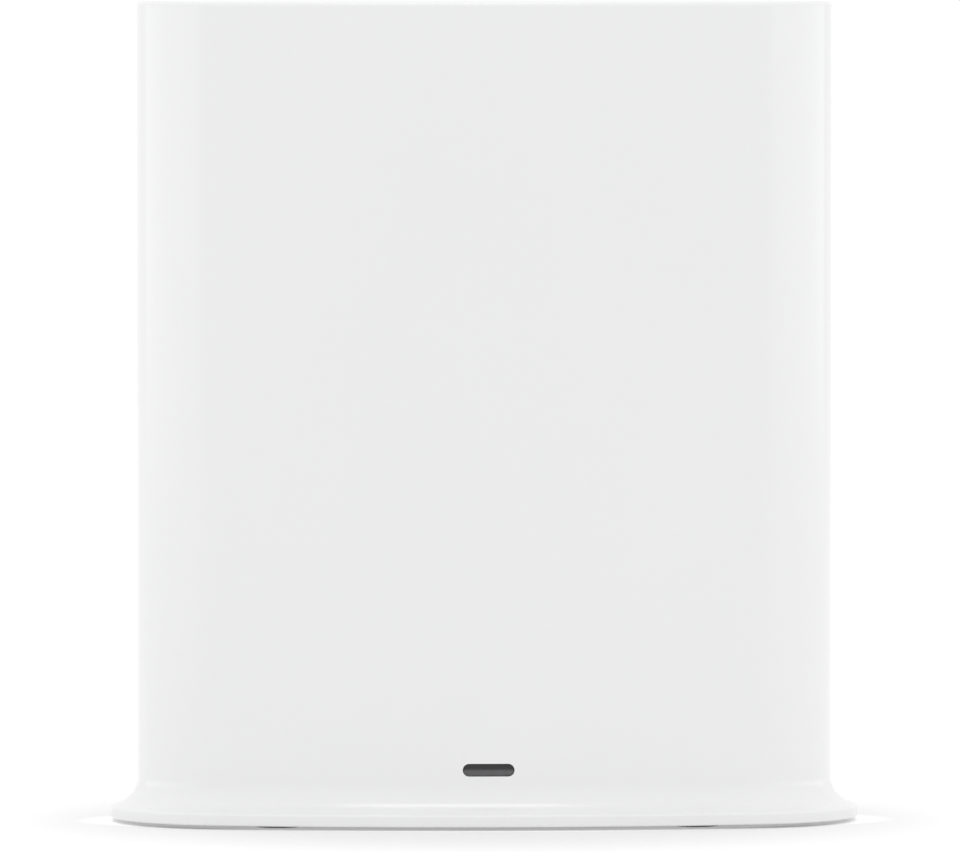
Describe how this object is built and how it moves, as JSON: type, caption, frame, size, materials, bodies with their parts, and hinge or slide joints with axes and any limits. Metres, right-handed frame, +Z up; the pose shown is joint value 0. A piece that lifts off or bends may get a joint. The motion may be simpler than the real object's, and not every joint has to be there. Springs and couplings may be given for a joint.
{
  "type": "security camera base station",
  "caption": "Upright oval hub on a flared foot, with a small front light, and a port bay, vents and a pairing button on the back.",
  "frame": {"origin": "middle of the footprint, on the surface that the rubber feet stand on", "axes": "+Z up; +X right seen from the front; the front with the light faces -Y and the ports face +Y"},
  "size_m": [0.137, 0.059, 0.15],
  "materials": {
    "housing_white": "gloss white ABS",
    "panel_white": "fine matt texture",
    "cover_grey": "fine matt texture",
    "foot_rubber": "matt",
    "screw_steel": "zinc plated",
    "smoked_lens": "smoked, polished",
    "black_plastic": "satin",
    "lamp": "clear epoxy",
    "board_green": "solder mask",
    "port_metal": "nickel plated",
    "gold": "gold flashed",
    "chip_black": "moulded epoxy",
    "pad_grey": "soft silicone",
    "heat_sink_metal": "extruded, plain",
    "carrier_plastic": "natural",
    "antenna_copper": "copper on laminate",
    "lead_grey": "smooth sheath",
    "ribbon_white": "polyester film",
    "can_aluminium": "drawn can",
    "ferrite": "sintered",
    "light_green": "clear, tinted",
    "button_white": "satin"
  },
  "bodies": {
    "hub": {"outer_shell": "housing_white", "rear_panel": "panel_white", "bottom_cover": "cover_grey", "rubber_feet": "foot_rubber", "cover_screws": "screw_steel", "light_pipe": "smoked_lens", "light_shroud": "black_plastic", "status_led": "lamp", "port_board": "board_green", "port_board_screws": "screw_steel", "main_board": "board_green", "main_board_screws": "screw_steel", "power_jack": "black_plastic", "power_pin": "port_metal", "power_spring": "port_metal", "lan_jack": "port_metal", "lan_lights": "light_green", "lan_contacts": "gold", "lan_transformer": "chip_black", "usb_shell": "port_metal", "usb_tongue": "black_plastic", "usb_contacts": "gold", "card_socket": "black_plastic", "card_cover": "port_metal", "reset_switch": "black_plastic", "sync_switch": "black_plastic", "main_processor": "chip_black", "thermal_pad": "pad_grey", "memory_chips": "chip_black", "flash_chip": "chip_black", "crystal": "port_metal", "heat_sink": "heat_sink_metal", "heat_sink_screws": "screw_steel", "radio_shields": "port_metal", "antenna_carrier": "carrier_plastic", "antenna_right": "antenna_copper", "antenna_left": "antenna_copper", "antenna_top": "antenna_copper", "coax_plugs": "gold", "antenna_leads": "lead_grey", "ribbon_sockets": "chip_black", "ribbon_cable": "ribbon_white", "capacitors": "can_aluminium", "power_inductor": "ferrite"},
    "sync_key": {"sync_button": "button_white", "sync_stem": "black_plastic"},
    "reset_key": {"reset_stem": "black_plastic"},
    "card_catch": {"card_slider": "black_plastic"}
  },
  "joints": [
    {"name": "sync_press", "type": "slide", "parent": "hub", "child": "sync_key", "axis": [0, -1, 0], "range_m": [0, 0.0003], "stiffness_N_per_m": 400, "springref_m": -0.001},
    {"name": "reset_press", "type": "slide", "parent": "hub", "child": "reset_key", "axis": [0, -1, 0], "range_m": [0, 0.00025], "stiffness_N_per_m": 400, "springref_m": -0.001},
    {"name": "card_press", "type": "slide", "parent": "hub", "child": "card_catch", "axis": [0, -1, 0], "range_m": [0, 0.0012], "stiffness_N_per_m": 300, "springref_m": -0.001}
  ]
}
